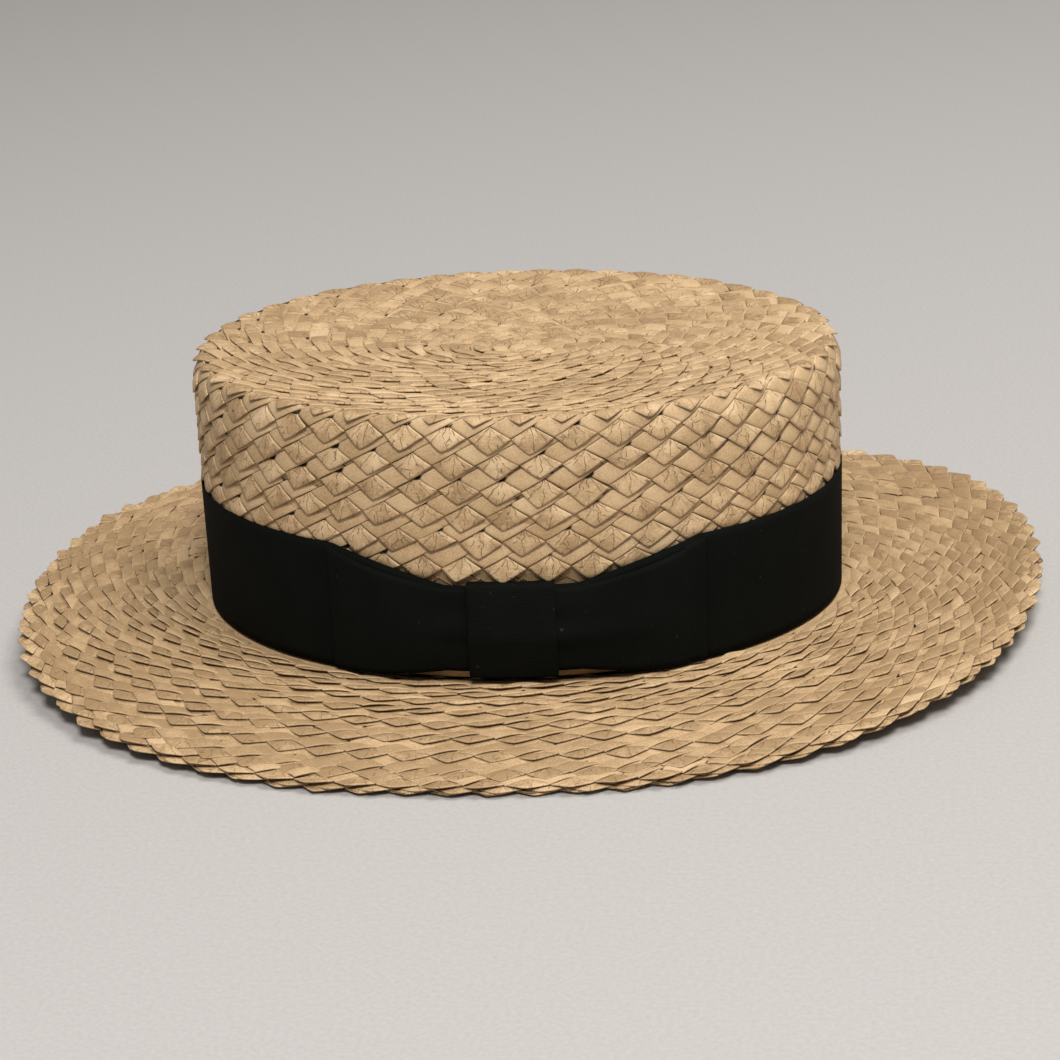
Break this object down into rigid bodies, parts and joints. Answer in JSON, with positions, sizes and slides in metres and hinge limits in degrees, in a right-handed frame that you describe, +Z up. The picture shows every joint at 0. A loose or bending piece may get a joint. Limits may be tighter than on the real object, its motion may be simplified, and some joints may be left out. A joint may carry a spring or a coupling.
{
  "type": "straw boater hat",
  "caption": "Stiff sewn-straw hat with a flat-topped oval crown, a wide gently bowed brim with a toothed edge, and a ribbed ribbon band tied in a flat bow.",
  "frame": {"origin": "on the floor that the hat lies on, under the middle of the brim", "axes": "+X along the hat's oval towards the wearer's back, -Y the side with the bow, +Z up"},
  "size_m": [0.3312, 0.2982, 0.0919],
  "materials": {
    "straw_braid": "matte plaited straw",
    "straw_edge": "matte plaited straw",
    "ribbon": "matte ribbed black ribbon"
  },
  "bodies": {
    "root": {"crown_top": "straw_braid", "crown_side": "straw_braid", "brim": "straw_braid", "brim_edge_braid": "straw_edge", "brim_under_braid": "straw_edge", "band": "ribbon", "bow_loop_left": "ribbon", "bow_loop_right": "ribbon", "bow_knot": "ribbon"}
  },
  "joints": []
}
